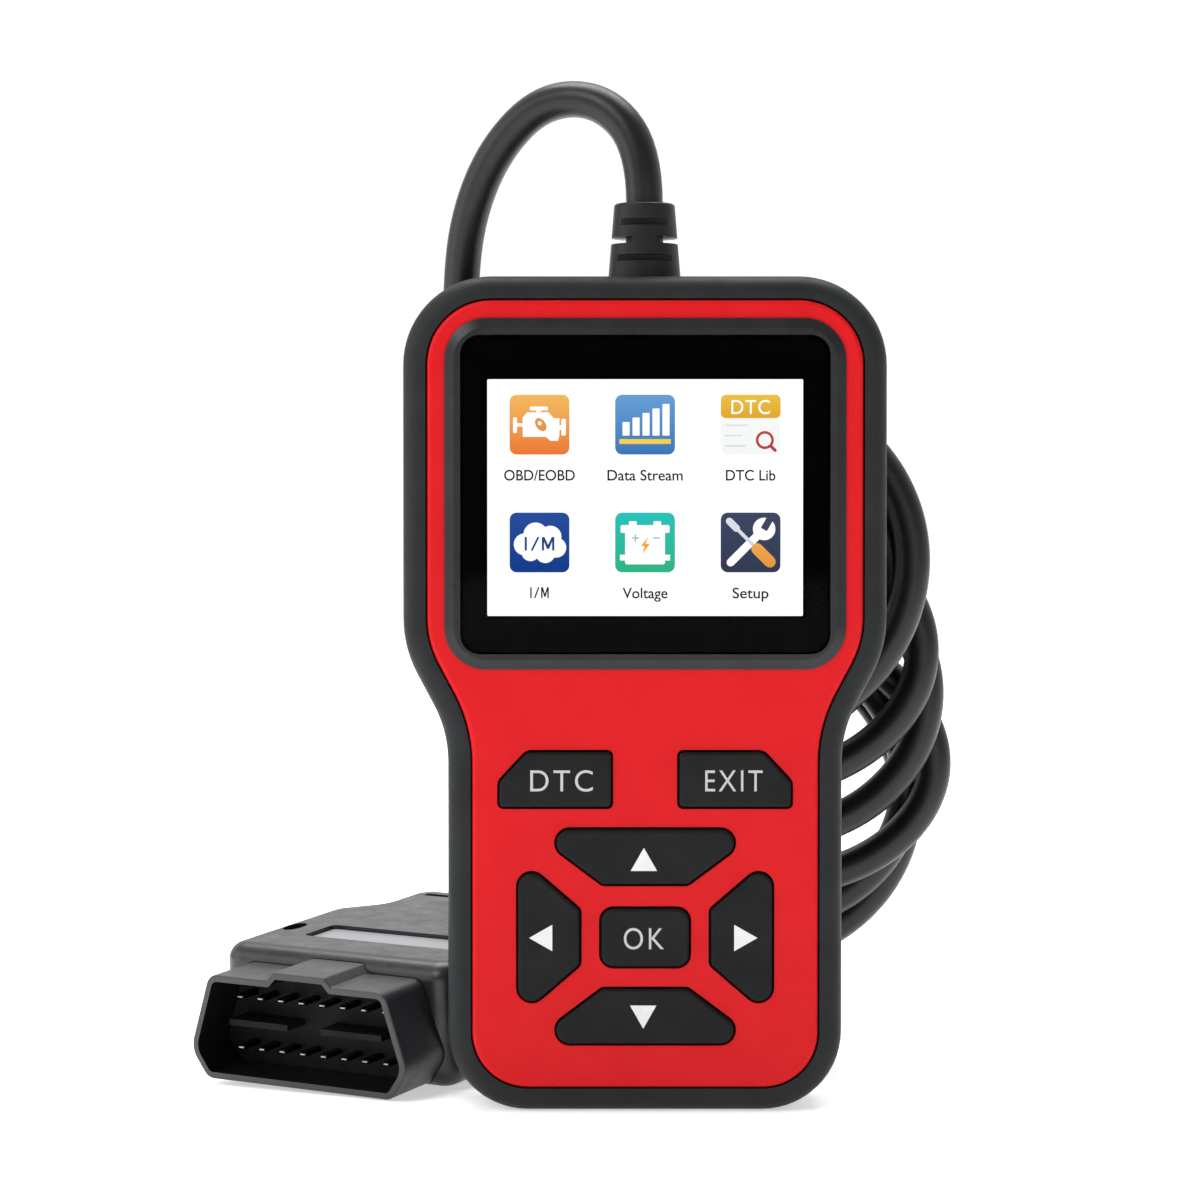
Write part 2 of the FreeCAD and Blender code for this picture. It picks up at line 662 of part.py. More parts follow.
# ---- cable ------------------------------------------------------------------------------------
def arc_radii(points):
    """Largest arc that each corner's two runs allow."""
    radii = []
    for before, here, after in zip(points, points[1:], points[2:]):
        turn = (here - before).getAngle(after - here)
        shorter = min((here - before).Length, (after - here).Length)
        radii.append(ARC_SHARE * shorter / math.tan(turn / 2))
    return radii


def tube_wire(points):
    """Straight runs joined by tangent arcs."""
    edges = []
    last = points[0]
    for i, radius in enumerate(arc_radii(points)):
        before, here, after = points[i], points[i + 1], points[i + 2]
        inward = (before - here).normalize()
        outward = (after - here).normalize()
        half = inward.getAngle(outward) / 2
        back = radius / math.tan(half)
        nearest = here + (inward + outward).normalize() * (radius / math.sin(half) - radius)
        start = here + inward * back
        end = here + outward * back
        edges.append(Part.LineSegment(last, start).toShape())
        edges.append(Part.Arc(start, nearest, end).toShape())
        last = end
    edges.append(Part.LineSegment(last, points[-1]).toShape())
    return Part.Wire(edges)


def tube(name, points, radius):
    """Round tube along a route, with its arc radii and its volume against section times length."""
    points = [Vector(*p) for p in points]
    path = tube_wire(points)
    circle = Part.makeCircle(radius, points[0], points[1] - points[0])
    pipe = path.makePipeShell([Part.Wire([circle])], True, False)
    expected = math.pi * radius ** 2 * path.Length
    radii = " ".join("%.1f" % r for r in arc_radii(points))
    ratio = pipe.Volume / expected
    print("%s: length %.1f, volume / expected %.4f, radii %s" % (name, path.Length, ratio, radii))
    return pipe


def coil_ring(half_width, half_height):
    ellipse = Part.Ellipse(Vector(0, 0, 0), half_width, half_height).toShape()
    ring = Part.Face(Part.Wire([ellipse]))
    ring.rotate(Vector(0, 0, 0), Vector(1, 0, 0), 90)
    ring.translate(COIL_FIRST)
    return ring.extrude(COIL_LAST - COIL_FIRST)


def cable_coil():
    """Outer shape of the loose turns: an oval ring that slants down and back."""
    outside = coil_ring(COIL_HALF_WIDTH, COIL_HALF_HEIGHT)
    return outside.cut(coil_ring(COIL_HALF_WIDTH - COIL_BAND, COIL_HALF_HEIGHT - COIL_BAND))


def relief_slots(level, through):
    """Pair of slots that leave a web: through X (front and back) or through Y (left and right)."""
    z = CASE_HEIGHT + level
    slots = []
    for side in (-1, 1):
        if through == "x":
            near, far = sorted((side * RELIEF_CORE, side * 8))
            slots.append(box(-8, 8, near, far, z, z + RELIEF_SLOT))
        else:
            near, far = sorted((side * 1.9, side * 8))
            slots.append(box(near, far, -8, 8, z, z + RELIEF_SLOT))
    return slots


def strain_relief():
    """Rubber relief: flange inside the covers, neck through the edge, four rings joined by webs."""
    flange_top = CASE_HEIGHT - CAVITY_INSET
    flange = rod_z(0, 0, FLANGE_RADIUS, flange_top - FLANGE_THICK, flange_top)
    neck = rod_z(0, 0, RELIEF_BASE_RADIUS, flange_top - 0.2, CASE_HEIGHT)
    sleeve = cone_z(RELIEF_BASE_RADIUS, RELIEF_TOP_RADIUS, CASE_HEIGHT, RELIEF_TOP)
    whole = joined([flange, neck, sleeve])
    whole = whole.makeFillet(0.5, [e for e in whole.Edges if abs(e.BoundBox.ZMin - RELIEF_TOP) < 1e-4])
    whole = whole.cut(relief_slots(2.6, "x") + relief_slots(5.4, "y") + relief_slots(8.2, "x"))
    core = rod_z(0, 0, RELIEF_CORE - 0.4, flange_top - 1.0, RELIEF_TOP - 0.5)
    return joined([whole, core])


# ---- diagnostic plug ----------------------------------------------------------------------------
def placed(shape):
    """From the plug's own axes to where it lies: a little rolled, nose down and turned."""
    pivot = Vector(0, 0, SHROUD_FLOOR)
    shape.rotate(pivot, Vector(0, 1, 0), PLUG_ROLL)
    shape.rotate(pivot, Vector(1, 0, 0), PLUG_PITCH)
    shape.rotate(pivot, Vector(0, 0, 1), -PLUG_YAW)
    shape.translate(PLUG_MOUTH)
    return shape


def placed_point(across, along, up):
    return placed(Part.Vertex(across, along, up)).Point


def shroud_corners(by=0.0):
    """Outline of the shroud moved outwards by a distance: wide below, narrow above, tab on top."""
    tab = SHROUD_TOP + TAB_RISE
    right = [(17.7, SHROUD_FLOOR, 2.2), (20.9, SHROUD_FLOOR + 4.7, 4.2), (16.9, SHROUD_TOP, 2.2)]
    left = [(-u, v, r) for u, v, r in reversed(right)]
    tab_right = [(TAB_MIDDLE + TAB_FOOT_HALF, SHROUD_TOP, 0.3), (TAB_MIDDLE + TAB_HALF, tab, 0.6)]
    tab_left = [(TAB_MIDDLE - TAB_HALF, tab, 0.6), (TAB_MIDDLE - TAB_FOOT_HALF, SHROUD_TOP, 0.3)]
    corners = right + tab_right + tab_left + left
    if not by:
        return corners
    return [(u, v, max(r - max(by, 0) * 0.5, 0.2)) for u, v, r in grown(corners, by)]


def plug_shroud():
    """Trapezoid shroud with a hollow key tab, and a flange that the shells hold."""
    wall = plate(shroud_corners(), 0, SHROUD_LENGTH + 5)
    wall = wall.makeFillet(0.35, edges_at_depth(wall, 0))
    flange = [(-FLANGE_HALF, FLANGE_LOW, 1.0), (FLANGE_HALF, FLANGE_LOW, 1.0)]
    flange += [(FLANGE_HALF, FLANGE_HIGH, 1.0), (-FLANGE_HALF, FLANGE_HIGH, 1.0)]
    whole = joined([wall, plate(flange, SHROUD_LENGTH + 2.2, SHROUD_LENGTH + 4.0)])
    whole = whole.cut(plate(shroud_corners(-SHROUD_WALL), -1, SHROUD_LENGTH + 6))
    inside = SHROUD_LENGTH + BODY_WALL - 0.05
    trims = [box(-30, 30, inside, 20, FLANGE_HIGH, 30), box(-30, 30, inside, 20, -1, BODY_WALL + 0.2)]
    trims.append(box(FLANGE_HALF, 30, inside, 20, -1, 30))
    trims.append(box(-30, -FLANGE_HALF, inside, 20, -1, 30))
    return whole.cut(trims)


def pin_places():
    return [(i - 3.5) * PIN_PITCH for i in range(8)]


def pin_carrier():
    """Insulating block across the shroud, with the mouth's rib in two halves."""
    block = plate(shroud_corners(-SHROUD_WALL - 0.02), 9.0, 14.0)
    low, high = PIN_MIDDLE - RIB_HALF_THICK, PIN_MIDDLE + RIB_HALF_THICK
    left_rib = box(-15.8, -4.4, RIB_RECESS, 9.5, low, high)
    right_rib = box(2.0, 13.6, RIB_RECESS, 9.5, low, high)
    whole = joined([block, left_rib, right_rib])
    half_width, half_thick = PIN_WIDTH / 2 + 0.05, PIN_THICK / 2 + 0.05
    holes = []
    for up in (-PIN_ROW, PIN_ROW):
        z = PIN_MIDDLE + up
        for x in pin_places():
            holes.append(box(x - half_width, x + half_width, 8, 15, z - half_thick, z + half_thick))
    return whole.cut(holes)


def pin_row(up):
    """Eight blade contacts with tapered tips."""
    pins = []
    low = PIN_MIDDLE + up - PIN_THICK / 2
    for x in pin_places():
        left = x - PIN_WIDTH / 2
        blade = box(left, left + PIN_WIDTH, PIN_RECESS, 20.0, low, low + PIN_THICK)
        pins.append(blade.makeChamfer(0.25, edges_at_depth(blade, PIN_RECESS)))
    return Part.makeCompound(pins)


def body_corners(by=0.0):
    """Plan outline of the plug's body: straight sides that draw in to a narrower neck."""
    right = [
        (BODY_HALF, SHROUD_LENGTH, 4.0),
        (BODY_HALF, BODY_SHOULDER, 6.0),
        (NECK_HALF, NECK_START, 6.0),
        (NECK_HALF, BODY_END, 5.0),
    ]
    corners = right + [(-u, v, r) for u, v, r in reversed(right)]
    if not by:
        return corners
    radii = [0.8, 6.0 + by, 6.0 - by, 5.0 + by]
    radii += reversed(radii)
    return [(u, v, r) for (u, v, old), r in zip(grown(corners, by), radii)]


def plug_body():
    block = slab(body_corners(), 0, BODY_HEIGHT)
    rims = [e for e in block.Edges if e.BoundBox.ZLength < 1e-4]
    block = block.makeFillet(BODY_EDGE, rims)
    block = block.cut(slab(body_corners(-BODY_WALL), BODY_WALL, BODY_HEIGHT - BODY_WALL))
    mouth = plate(shroud_corners(0.12), SHROUD_LENGTH - 1, SHROUD_LENGTH + BODY_WALL + 1)
    tail = rod_y(0, BODY_MIDDLE, BOOT_BASE_RADIUS + 0.1, BODY_END - 4, BODY_END + 4)
    return block.cut([mouth, tail])


def oval_window(side):
    """Upright oval hole through the shell's top, close to one long edge."""
    oval = Part.Ellipse(Vector(0, 0, 0), WINDOW_HOLE["half_along"], WINDOW_HOLE["half_across"]).toShape()
    hole = Part.Face(Part.Wire([oval])).extrude(Vector(0, 0, 6))
    hole.rotate(Vector(0, 0, 0), Vector(0, 0, 1), 90)
    hole.translate(Vector(side * WINDOW_HOLE["across"], WINDOW_HOLE["along"], BODY_HEIGHT - BODY_WALL - 1))
    return hole


def plug_upper_shell():
    """Upper half of the plug's body: label recess, oval window on each side, slot near the tail."""
    shell = plug_body().common(box(-40, 40, 0, 90, BODY_MIDDLE, 40))
    posts = [rod_z(x, y, 2.6, BODY_MIDDLE, BODY_HEIGHT - 1) for x, y in PLUG_SCREWS]
    shell = joined([shell] + posts)
    cuts = [slab(PLUG_LABEL, BODY_HEIGHT - PLUG_LABEL_DEPTH, BODY_HEIGHT + 1)]
    cuts.append(slab(PLUG_SLOT, BODY_HEIGHT - 0.8, BODY_HEIGHT + 1))
    cuts += [oval_window(side) for side in (-1, 1)]
    cuts += [rod_z(x, y, 1.0, BODY_MIDDLE - 1, BODY_HEIGHT - 3) for x, y in PLUG_SCREWS]
    return shell.cut(cuts)


def plug_lower_shell():
    """Lower half, with a deep seat for each screw."""
    shell = plug_body().common(box(-40, 40, 0, 90, -10, BODY_MIDDLE))
    posts = [rod_z(x, y, 3.4, 1, BODY_MIDDLE - 0.1) for x, y in PLUG_SCREWS]
    shell = joined([shell] + posts)
    cuts = [rod_z(x, y, 2.3, -1, PLUG_HEAD_SEAT) for x, y in PLUG_SCREWS]
    cuts += [rod_z(x, y, 1.15, PLUG_HEAD_SEAT - 1, BODY_MIDDLE + 1) for x, y in PLUG_SCREWS]
    return shell.cut(cuts)


def plug_screws():
    screws = []
    for x, y in PLUG_SCREWS:
        upright = screw(0, 0, 0, 2.0, 1.6, 0.95, -11.5)
        upright.rotate(Vector(0, 0, 0), Vector(1, 0, 0), -90)
        upright.translate(Vector(x, y, PLUG_HEAD_SEAT))
        screws.append(upright)
    return Part.makeCompound(screws)


def plug_board():
    return box(-12, 12, 20.6, 46, BODY_MIDDLE - 1.0, BODY_MIDDLE + 0.6)


def plug_chip():
    return box(-4, 4, 30, 38, BODY_MIDDLE + 0.6, BODY_MIDDLE + 2.2)


def plug_label():
    bottom = BODY_HEIGHT - PLUG_LABEL_DEPTH
    return slab(grown(PLUG_LABEL, -0.25), bottom, bottom + PLUG_LABEL_THICK)


def plug_boot():
    """Tapered cable boot with ring grooves, its flange held inside the shells."""
    wall_inside = BODY_END - BODY_WALL
    flange = rod_y(0, BODY_MIDDLE, 7.0, wall_inside - 1.8, wall_inside - 0.1)
    neck = rod_y(0, BODY_MIDDLE, BOOT_BASE_RADIUS, wall_inside - 0.3, BODY_END)
    start = Vector(0, BODY_END, BODY_MIDDLE)
    cone = Part.makeCone(BOOT_BASE_RADIUS, BOOT_END_RADIUS, BOOT_END - BODY_END, start, Vector(0, 1, 0))
    whole = joined([flange, neck, cone])
    grooves = []
    for i in range(4):
        y = BODY_END + 3.0 + i * 3.8
        ring = rod_y(0, BODY_MIDDLE, 8.0, y, y + 1.4)
        grooves.append(ring.cut(rod_y(0, BODY_MIDDLE, BOOT_CORE, y - 1, y + 3)))
    whole = whole.cut(grooves)
    return whole.makeFillet(0.5, edges_at_depth(whole, BOOT_END))


def main():
    os.makedirs("parts", exist_ok=True)
    nodes = {
        "front_cover": front_cover(),
        "rear_cover": rear_cover(),
        "bumper": bumper(),
        "rear_label": rear_label(),
        "case_screws": case_screws(),
        "screen_bezel": screen_bezel(),
        "screen_lens": screen_lens(),
        "lens_mask": lens_mask(),
        "lcd_panel": lcd_panel(),
        "lcd_frame": lcd_frame(),
        "backlight": backlight(),
        "lcd_ribbon": lcd_ribbon(),
        "ribbon_connector": ribbon_connector(),
        "keypad_mat": keypad_mat(),
        "key_domes": key_domes(),
        "main_board": main_board(),
        "board_screws": board_screws(),
        "chip_legs": chip_legs(),
        "crystal": crystal(),
        "storage_capacitors": storage_capacitors(),
        "chip_capacitors": chip_capacitors(),
        "buzzer": buzzer(),
        "cable_header": cable_header(),
        "header_pins": header_pins(),
        "lead_plug": lead_plug(),
        "strain_relief": strain_relief(),
    }
    for name in KEYS:
        nodes[name] = key(name)
    for name in CHIPS:
        nodes[name] = chips(name)
    plug = {
        "plug_shroud": plug_shroud(),
        "plug_upper_shell": plug_upper_shell(),
        "plug_lower_shell": plug_lower_shell(),
        "pin_carrier": pin_carrier(),
        "pins_upper_row": pin_row(PIN_ROW),
        "pins_lower_row": pin_row(-PIN_ROW),
        "plug_board": plug_board(),
        "plug_chip": plug_chip(),
        "plug_screws": plug_screws(),
        "plug_label": plug_label(),
        "plug_boot": plug_boot(),
    }
    for name, shape in plug.items():
        nodes[name] = placed(shape)
    boot_end = placed_point(0, BOOT_END, BODY_MIDDLE)
    beyond = placed_point(0, BOOT_END + 9.0, BODY_MIDDLE)
    tail_points = TAIL_ROUTE + [tuple(beyond), tuple(boot_end)]
    print("plug exit %.2f %.2f %.2f, next point %.2f %.2f %.2f" % (*boot_end, *beyond))
    coil = cable_coil()
    nodes["cable_arch"] = tube("cable_arch", ARCH_ROUTE, CABLE_RADIUS).cut(coil)
    nodes["cable_tail"] = tube("cable_tail", tail_points, CABLE_RADIUS).cut(coil)
    nodes["cable_coil"] = coil
    nodes["inner_lead"] = tube("inner_lead", INNER_ROUTE, INNER_RADIUS)
    for name, shape in nodes.items():
        shape.translate(Vector(0, 0, -CASE_FOOT))
        shape.exportStep("parts/%s.step" % name)
        if not shape.isValid() or shape.Volume <= 0:
            print("PROBLEM", name, shape.isValid(), shape.Volume)
    print("%d nodes written" % len(nodes))


main()
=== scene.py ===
import json
import math

import bmesh
import bpy
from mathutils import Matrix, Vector


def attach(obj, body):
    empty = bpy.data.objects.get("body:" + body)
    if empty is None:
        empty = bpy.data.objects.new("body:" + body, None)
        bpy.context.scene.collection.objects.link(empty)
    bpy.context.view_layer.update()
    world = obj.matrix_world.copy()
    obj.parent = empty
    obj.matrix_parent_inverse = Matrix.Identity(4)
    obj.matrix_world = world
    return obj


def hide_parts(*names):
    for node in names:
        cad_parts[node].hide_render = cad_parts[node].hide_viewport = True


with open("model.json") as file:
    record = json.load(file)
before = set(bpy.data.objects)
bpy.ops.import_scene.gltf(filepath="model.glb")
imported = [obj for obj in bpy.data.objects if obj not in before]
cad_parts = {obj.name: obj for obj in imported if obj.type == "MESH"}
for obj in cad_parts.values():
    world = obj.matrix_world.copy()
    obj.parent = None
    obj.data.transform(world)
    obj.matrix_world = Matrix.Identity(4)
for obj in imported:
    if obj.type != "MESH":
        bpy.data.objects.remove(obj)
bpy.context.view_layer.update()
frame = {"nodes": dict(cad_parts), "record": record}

MM = 0.001
DATUM = 0.8


def mm(x, y, z):
    """A place in the frame, from millimetres with the height measured from the datum."""
    return Vector((x * MM, y * MM, (z + DATUM) * MM))


# ---- camera -----------------------------------------------------------------------------------
CAMERA_X, CAMERA_HEIGHT, CAMERA_DISTANCE = -7.0, 90.0, 540.0
FACE_Y = -10.0
AIM_HEIGHT = 78.8
VIEW_WIDTH = 185.8
BRIGHT_SIDE, DIM_SIDE = 1.04, 0.25


def add_camera():
    data = bpy.data.cameras.new("camera")
    data.sensor_width = 36.0
    data.lens = data.sensor_width * CAMERA_DISTANCE / VIEW_WIDTH
    data.clip_start = 0.01
    camera = bpy.data.objects.new("camera", data)
    bpy.context.scene.collection.objects.link(camera)
    camera.location = mm(CAMERA_X, FACE_Y - CAMERA_DISTANCE, CAMERA_HEIGHT)
    aim = mm(CAMERA_X, FACE_Y, AIM_HEIGHT) - camera.location
    camera.rotation_euler = aim.to_track_quat("-Z", "Y").to_euler()
    bpy.context.scene.camera = camera


# ---- materials --------------------------------------------------------------------------------
def surface(name, colour, rough, metallic=0.0, grain=0.0, grain_size=0.3, mottle=0.12, mottle_size=9.0,
            rough_vary=0.08, specular=0.5):
    """Principled surface whose colour, roughness and relief vary with noise. Sizes in mm."""
    material = bpy.data.materials.new(name)
    material.use_nodes = True
    tree = material.node_tree
    shader = tree.nodes["Principled BSDF"]
    shader.inputs["Metallic"].default_value = metallic
    shader.inputs["Specular IOR Level"].default_value = specular
    where = tree.nodes.new("ShaderNodeTexCoord")

    def noise(size, detail, roughness=0.55):
        node = tree.nodes.new("ShaderNodeTexNoise")
        node.inputs["Scale"].default_value = 1000.0 / size
        node.inputs["Detail"].default_value = detail
        node.inputs["Roughness"].default_value = roughness
        tree.links.new(where.outputs["Object"], node.inputs["Vector"])
        return node.outputs["Fac"]

    tint = tree.nodes.new("ShaderNodeValToRGB")
    dark = [max(c * (1 - mottle), 0) for c in colour]
    light = [min(c * (1 + mottle) + 0.002, 1) for c in colour]
    tint.color_ramp.elements[0].position = 0.3
    tint.color_ramp.elements[0].color = (*dark, 1)
    tint.color_ramp.elements[1].position = 0.7
    tint.color_ramp.elements[1].color = (*light, 1)
    tree.links.new(noise(mottle_size, 4.0), tint.inputs["Fac"])
    tree.links.new(tint.outputs["Color"], shader.inputs["Base Color"])

    spread = tree.nodes.new("ShaderNodeMapRange")
    spread.inputs["From Min"].default_value = 0.3
    spread.inputs["From Max"].default_value = 0.7
    spread.inputs["To Min"].default_value = max(rough - rough_vary, 0.02)
    spread.inputs["To Max"].default_value = min(rough + rough_vary, 1.0)
    tree.links.new(noise(mottle_size * 0.45, 6.0, 0.65), spread.inputs["Value"])
    tree.links.new(spread.outputs["Result"], shader.inputs["Roughness"])

    if grain:
        bump = tree.nodes.new("ShaderNodeBump")
        bump.inputs["Strength"].default_value = grain
        bump.inputs["Distance"].default_value = 0.05 * MM
        tree.links.new(noise(grain_size, 2.0), bump.inputs["Height"])
        tree.links.new(bump.outputs["Normal"], shader.inputs["Normal"])
    return material


def glow(name, low_colour, high_colour, low, high, strength=1.0):
    """Screen colour that changes evenly from the height low to the height high, in mm."""
    material = bpy.data.materials.new(name)
    material.use_nodes = True
    tree = material.node_tree
    shader = tree.nodes["Principled BSDF"]
    shader.inputs["Roughness"].default_value = 0.5
    shader.inputs["Specular IOR Level"].default_value = 0.0
    shader.inputs["Base Color"].default_value = (0.0, 0.0, 0.0, 1)
    shader.inputs["Emission Strength"].default_value = strength
    where = tree.nodes.new("ShaderNodeTexCoord")
    split = tree.nodes.new("ShaderNodeSeparateXYZ")
    fade = tree.nodes.new("ShaderNodeMapRange")
    fade.inputs["From Min"].default_value = (low + DATUM) * MM
    fade.inputs["From Max"].default_value = (high + DATUM) * MM
    tint = tree.nodes.new("ShaderNodeValToRGB")
    tint.color_ramp.elements[0].color = (*low_colour, 1)
    tint.color_ramp.elements[1].color = (*high_colour, 1)
    tree.links.new(where.outputs["Object"], split.inputs["Vector"])
    tree.links.new(split.outputs["Z"], fade.inputs["Value"])
    tree.links.new(fade.outputs["Result"], tint.inputs["Fac"])
    tree.links.new(tint.outputs["Color"], shader.inputs["Emission Color"])
    return material


def clear_glass():
    material = bpy.data.materials.new("window_glass")
    material.use_nodes = True
    shader = material.node_tree.nodes["Principled BSDF"]
    shader.inputs["Base Color"].default_value = (0.97, 0.98, 0.98, 1)
    shader.inputs["Transmission Weight"].default_value = 1.0
    shader.inputs["Roughness"].default_value = 0.02
    shader.inputs["IOR"].default_value = 1.15
    return material


def linear(red, green, blue):
    """A colour named in screen values from 0 to 255, as the shader's own linear values."""
    shares = [value / 255 for value in (red, green, blue)]
    return tuple(((v + 0.055) / 1.055) ** 2.4 if v > 10 / 255 else v / 12.92 for v in shares)


MATERIALS = {
    "red_plastic": surface("moulded_red", linear(197, 12, 20), 0.42,
                           grain=0.12, grain_size=0.35, mottle=0.03, specular=0.15),
    "black_plastic": surface("moulded_black", linear(26, 26, 29), 0.34,
                             grain=0.12, grain_size=0.4, mottle=0.1, specular=0.3),
    "bumper_rubber": surface("bumper_rubber", linear(33, 35, 36), 0.5,
                             grain=0.25, grain_size=0.45, mottle=0.1, specular=0.12),
    "label": surface("label_film", linear(168, 170, 172), 0.4,
                     metallic=0.2, grain=0.05, grain_size=0.2, mottle=0.05),
    "screw_steel": surface("blackened_steel", linear(90, 90, 92), 0.35,
                           metallic=1.0, grain=0.3, grain_size=0.2),
    "screen_glass": clear_glass(),
    "printed_black": surface("printed_black", linear(4, 4, 6), 0.6, mottle=0.2, specular=0.0),
    "lcd": surface("panel_glass", linear(225, 228, 232), 0.2, mottle=0.03),
    "frame_plastic": surface("natural_plastic", linear(215, 212, 200), 0.45, grain=0.1, mottle=0.05),
    "ribbon": surface("ribbon_film", linear(188, 120, 50), 0.3, grain=0.05, mottle=0.1, mottle_size=1.2),
    "key_rubber": surface("key_rubber", linear(24, 25, 26), 0.5,
                          grain=0.2, grain_size=0.3, mottle=0.1, specular=0.1),
    "dome_steel": surface("dome_steel", linear(190, 190, 192), 0.22,
                          metallic=1.0, grain=0.1, grain_size=0.15),
    "board": surface("board_green", linear(22, 92, 48), 0.35,
                     grain=0.15, grain_size=0.6, mottle=0.25, mottle_size=2.0),
    "tin": surface("tinned", linear(200, 200, 200), 0.28, metallic=1.0, grain=0.15, grain_size=0.2),
    "chip": surface("epoxy_black", linear(34, 34, 36), 0.6, grain=0.3, grain_size=0.12, mottle=0.15),
    "ceramic_chip": surface("ceramic_chip", linear(176, 150, 116), 0.4,
                            grain=0.1, mottle=0.12, mottle_size=0.8),
    "cable_pvc": surface("cable_jacket", linear(13, 13, 14), 0.38,
                         grain=0.05, grain_size=0.6, mottle=0.08, mottle_size=6, rough_vary=0.04,
                         specular=0.36),
    "relief_rubber": surface("relief_rubber", linear(24, 24, 26), 0.42,
                             grain=0.2, grain_size=0.4, mottle=0.12, specular=0.2),
    "plug_plastic": surface("plug_black", linear(25, 26, 28), 0.34,
                            grain=0.3, grain_size=0.45, mottle=0.12, specular=0.5),
    "plug_label": surface("plug_label_film", linear(140, 141, 144), 0.35,
                          grain=0.05, grain_size=0.3, mottle=0.06),
}
LEGEND = surface("legend_ink", linear(178, 176, 180), 0.5,
                 grain=0.1, grain_size=0.2, mottle=0.05, mottle_size=1.5)
ARROW_INK = surface("arrow_ink", linear(212, 212, 214), 0.5,
                    grain=0.1, grain_size=0.2, mottle=0.04, mottle_size=1.5)


# plug's own axis: the cable's way out of the plug, this far from the mouth
PLUG_EXIT = mm(-15.22, 81.54, 16.58)
PLUG_AXIS = (mm(-10.87, 89.38, 17.37) - PLUG_EXIT).normalized()
PLUG_DEPTH = 84.0
CONTACT_TIP = 4.3


def paint_shade(material, value, start, full, dark):
    """Painted shade: base colour that fades to a dark one as a value goes from start to full."""
    tree = material.node_tree
    shader = tree.nodes["Principled BSDF"]
    fade = tree.nodes.new("ShaderNodeMapRange")
    fade.inputs["From Min"].default_value = start
    fade.inputs["From Max"].default_value = full
    mix = tree.nodes.new("ShaderNodeMixRGB")
    mix.inputs["Color2"].default_value = (*dark, 1)
    tree.links.new(value, fade.inputs["Value"])
    tree.links.new(fade.outputs["Result"], mix.inputs["Fac"])
    tree.links.new(shader.inputs["Base Color"].links[0].from_socket, mix.inputs["Color1"])
    tree.links.new(mix.outputs["Color"], shader.inputs["Base Color"])
    return material


def from_plug_exit(material):
    """Vector from the plug's cable exit to the surface."""
    tree = material.node_tree
    where = tree.nodes.new("ShaderNodeTexCoord")
    away = tree.nodes.new("ShaderNodeVectorMath")
    away.operation = "SUBTRACT"
    away.inputs[1].default_value = PLUG_EXIT
    tree.links.new(where.outputs["Object"], away.inputs[0])
    return away.outputs["Vector"]


def shade_behind_tip(material, tip, dark):
    """Painted shade: dark further into the plug than the tip, in mm from the mouth, for the shade on the
    contacts down in the mouth.
    """
    tree = material.node_tree
    along = tree.nodes.new("ShaderNodeVectorMath")
    along.operation = "DOT_PRODUCT"
    along.inputs[1].default_value = PLUG_AXIS
    tree.links.new(from_plug_exit(material), along.inputs[0])
    start = (tip - PLUG_DEPTH) * MM
    return paint_shade(material, along.outputs["Value"], start, start + 0.3 * MM, dark)


def shade_inside(material, dark):
    """Painted shade: dark where a wall faces the plug's axis, for the shade on the shroud's inner walls."""
    tree = material.node_tree
    facing = tree.nodes.new("ShaderNodeVectorMath")
    facing.operation = "DOT_PRODUCT"
    shape = tree.nodes.new("ShaderNodeNewGeometry")
    tree.links.new(from_plug_exit(material), facing.inputs[0])
    tree.links.new(shape.outputs["True Normal"], facing.inputs[1])
    return paint_shade(material, facing.outputs["Value"], 0.0, -1.0 * MM, dark)


# Shroud: the plug's black plastic made lighter, painted light for its lit outer sides, with painted shade
# on its inner walls.
SHROUD_LIT_BLACK = surface("shroud_painted_light_and_shade", linear(40, 41, 44), 0.42,
                       grain=0.2, grain_size=0.45, mottle=0.1, specular=0.55)
SHROUD = shade_inside(SHROUD_LIT_BLACK, linear(5, 5, 6))
# Pin carrier: darker and duller than the plug's plastic, painted shade deep in the mouth.
CARRIER = surface("carrier_painted_shade", linear(12, 12, 13), 0.6, grain=0.2, mottle=0.2, specular=0.15)
CONTACT_METAL = surface("contact_metal_painted_shade", linear(240, 238, 230), 0.3,
                        metallic=1.0, grain=0.08, grain_size=0.2)
# Contacts: bright metal at the tips, with painted shade along the rest of their length.
MATERIALS["contact"] = shade_behind_tip(CONTACT_METAL, CONTACT_TIP, linear(22, 21, 20))
OWN_MATERIALS = {"plug_shroud": SHROUD, "pin_carrier": CARRIER}


def dress_nodes():
    slots = {entry["node"]: entry["material_slot"] for entry in frame["record"]["subparts"]}
    for name, node in frame["nodes"].items():
        node.data.materials.clear()
        node.data.materials.append(OWN_MATERIALS.get(name, MATERIALS[slots[name]]))


# ---- cable ------------------------------------------------------------------------------------
CABLE_DIAMETER = 5.8
ARCH_ROUTE = [
    (0.0, 0.0, 140.9),
    (0.0, 0.0, 149.8),
    (-6.7, 3.4, 157.9),
    (-16.2, 8.0, 158.2),
    (-23.9, 12.4, 150.8),
    (-28.4, 15.8, 140.4),
    (-29.8, 18.6, 128.5),
    (-29.4, 20.2, 115.0),
    (-25.5, 21.6, 101.5),
    (-17.5, 23.2, 87.5),
]
TAIL_ROUTE = [
    (-8.4, 53.5, 35.5),
    (-3.6, 57.6, 25.0),
    (2.6, 59.6, 14.5),
    (10.0, 61.6, 6.8),
    (21.4, 64.6, 2.15),
    (30.2, 72.6, 2.15),
    (33.8, 84.0, 2.15),
    (31.4, 95.8, 2.15),
    (23.0, 104.4, 2.15),
    (11.6, 108.0, 5.0),
    (-0.2, 105.4, 9.6),
    (-10.87, 89.38, 17.37),
    (-15.22, 81.54, 16.58),
]
